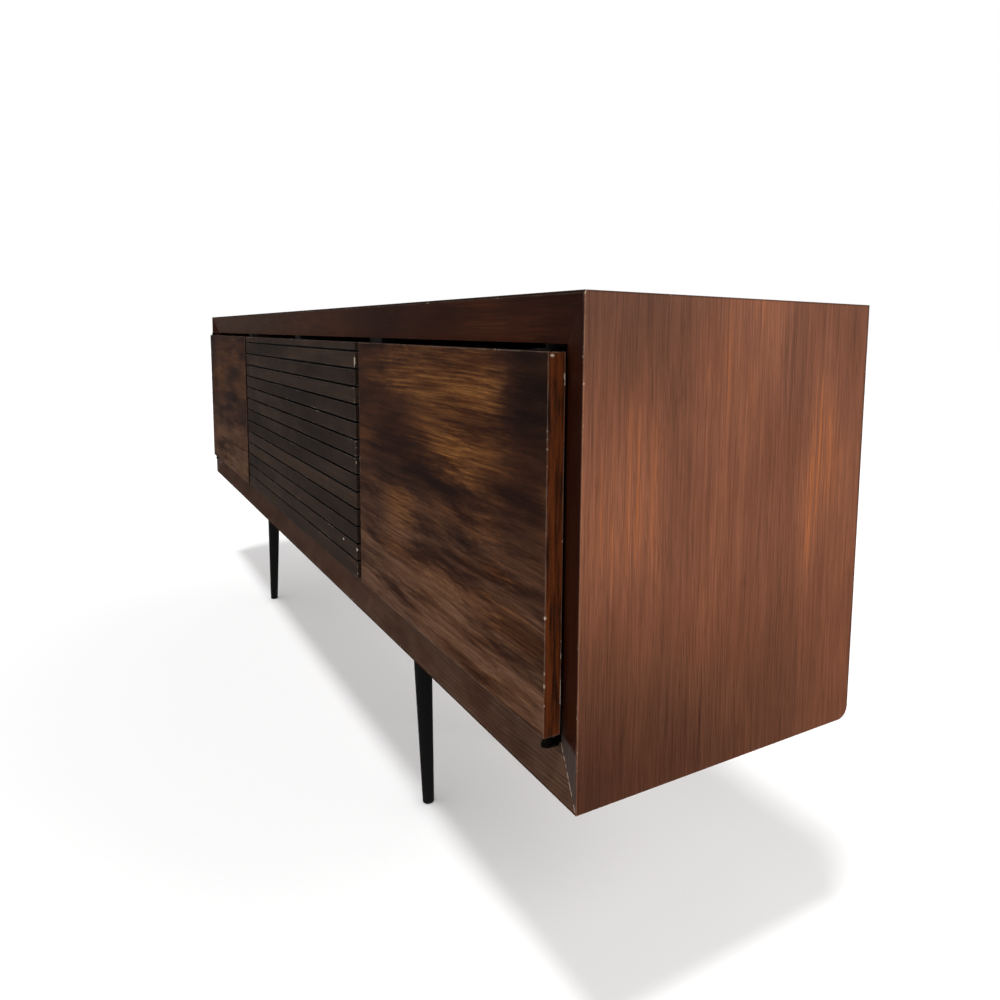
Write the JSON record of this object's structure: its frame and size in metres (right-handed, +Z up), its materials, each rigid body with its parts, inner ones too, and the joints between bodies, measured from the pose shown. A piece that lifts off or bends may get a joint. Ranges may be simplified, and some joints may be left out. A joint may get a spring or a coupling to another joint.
{
  "type": "sideboard buffet",
  "caption": "Long low sideboard on slim splayed legs: bevelled case, two plain side doors and a slatted drop front, with shelves inside.",
  "frame": {"origin": "on the floor, under the middle of the whole sideboard with its doors", "axes": "+X along the length to the right seen from the front, +Y to the back, so the front faces -Y, +Z up"},
  "size_m": [2.2, 0.4054, 0.786],
  "materials": {
    "case_veneer": "satin reddish-brown stained veneer, straight upright grain on the ends",
    "frame_wood": "satin dark brown stained wood with worn arrises",
    "door_veneer": "satin espresso-stained veneer with cloudy golden-brown figure",
    "slat_wood": "satin black-brown stained wood",
    "interior_wood": "matt brown veneer",
    "back_board": "matt brown plywood",
    "black_metal": "satin black paint",
    "hinge_steel": "plain zinc-plated steel",
    "catch_plastic": "matt dark plastic"
  },
  "bodies": {
    "case": {"top_panel": "case_veneer", "bottom_panel": "case_veneer", "left_side_panel": "case_veneer", "right_side_panel": "case_veneer", "top_front_rail": "frame_wood", "bottom_front_rail": "frame_wood", "left_front_stile": "frame_wood", "right_front_stile": "frame_wood", "left_divider": "interior_wood", "right_divider": "interior_wood", "left_shelf": "interior_wood", "centre_shelf": "interior_wood", "right_shelf": "interior_wood", "back_panel": "back_board", "left_bottom_hinge_arm": "hinge_steel", "left_top_hinge_arm": "hinge_steel", "left_flap_bracket": "hinge_steel", "left_stay_guide": "catch_plastic", "right_bottom_hinge_arm": "hinge_steel", "right_top_hinge_arm": "hinge_steel", "right_flap_bracket": "hinge_steel", "right_stay_guide": "catch_plastic", "left_magnetic_catch": "catch_plastic", "centre_magnetic_catch": "catch_plastic", "right_magnetic_catch": "catch_plastic", "front_left_leg": "black_metal", "front_left_leg_plate": "black_metal", "front_right_leg": "black_metal", "front_right_leg_plate": "black_metal", "rear_left_leg": "black_metal", "rear_left_leg_plate": "black_metal", "rear_right_leg": "black_metal", "rear_right_leg_plate": "black_metal"},
    "left_door": {"left_door": "door_veneer", "left_bottom_pivot_plate": "hinge_steel", "left_top_pivot_plate": "hinge_steel", "left_strike_plate": "hinge_steel"},
    "right_door": {"right_door": "door_veneer", "right_bottom_pivot_plate": "hinge_steel", "right_top_pivot_plate": "hinge_steel", "right_strike_plate": "hinge_steel"},
    "drop_front": {"flap_panel": "slat_wood", "slat_01": "slat_wood", "slat_02": "slat_wood", "slat_03": "slat_wood", "slat_04": "slat_wood", "slat_05": "slat_wood", "slat_06": "slat_wood", "slat_07": "slat_wood", "slat_08": "slat_wood", "slat_09": "slat_wood", "slat_10": "slat_wood", "slat_11": "slat_wood", "slat_12": "slat_wood", "slat_13": "slat_wood", "slat_14": "slat_wood", "left_flap_stay": "hinge_steel", "right_flap_stay": "hinge_steel", "centre_strike_plate": "hinge_steel"}
  },
  "joints": [
    {"name": "left_door_hinge", "type": "hinge", "parent": "case", "child": "left_door", "pos_m": [-1.0485, -0.19325, 0.54], "axis": [0, 0, -1], "range_deg": [0, 110]},
    {"name": "right_door_hinge", "type": "hinge", "parent": "case", "child": "right_door", "pos_m": [1.0485, -0.19325, 0.54], "axis": [0, 0, 1], "range_deg": [0, 110]},
    {"name": "drop_front_hinge", "type": "hinge", "parent": "case", "child": "drop_front", "pos_m": [0, -0.1885, 0.358], "axis": [1, 0, 0], "range_deg": [0, 90]}
  ]
}
